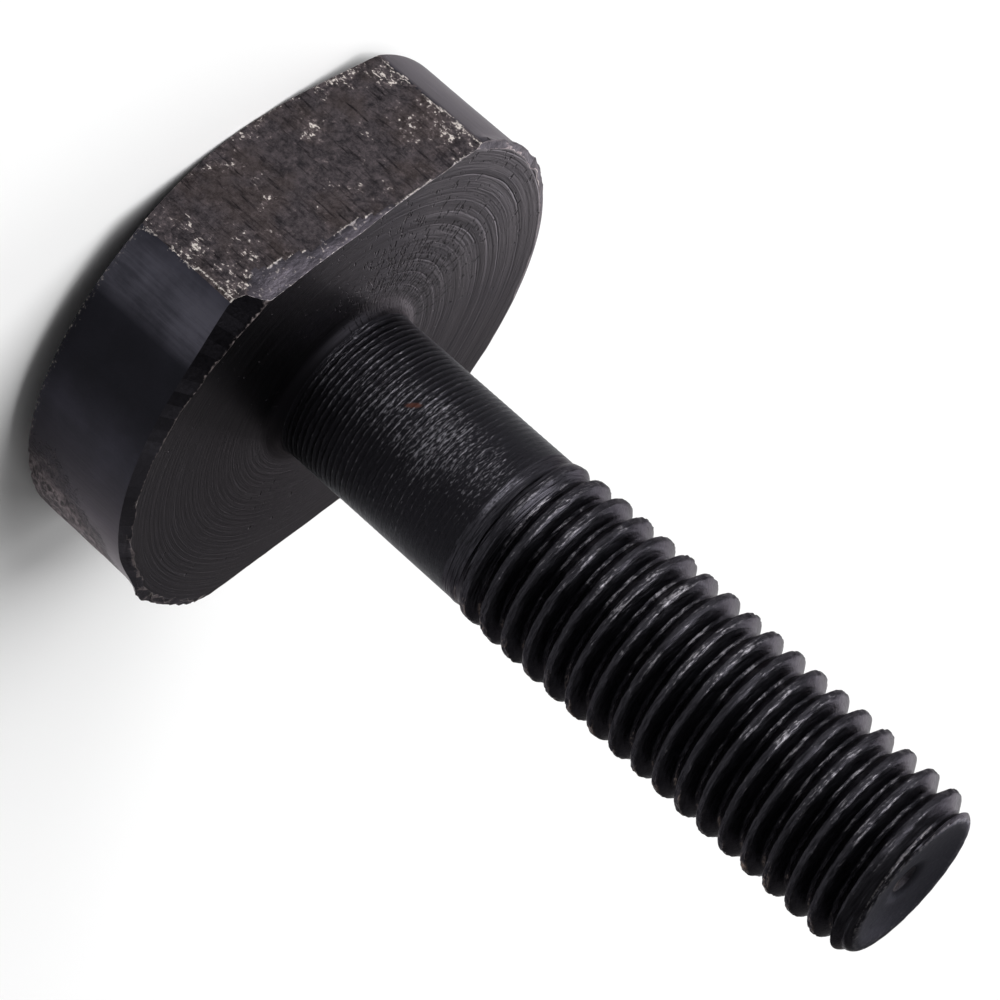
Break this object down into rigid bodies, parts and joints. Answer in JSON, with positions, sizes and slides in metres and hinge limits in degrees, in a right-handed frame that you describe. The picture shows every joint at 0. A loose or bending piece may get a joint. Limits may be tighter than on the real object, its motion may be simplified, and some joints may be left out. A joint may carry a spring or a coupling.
{
  "type": "t-bolt",
  "caption": "Round-head T-bolt with parallel head flats, a plain shank and a coarse metric thread, in black oxide steel.",
  "frame": {"origin": "centre of the head's flat back face, on the surface that the bolt stands on", "axes": "+Z along the shank from the head to the threaded end, +Y square to the two head flats"},
  "size_m": [0.03, 0.025, 0.0485],
  "materials": {
    "black_oxide_steel": "turned steel with a dark blue-black oxide, worn bright on edges and crests"
  },
  "bodies": {
    "root": {"t_bolt": "black_oxide_steel"}
  },
  "joints": []
}
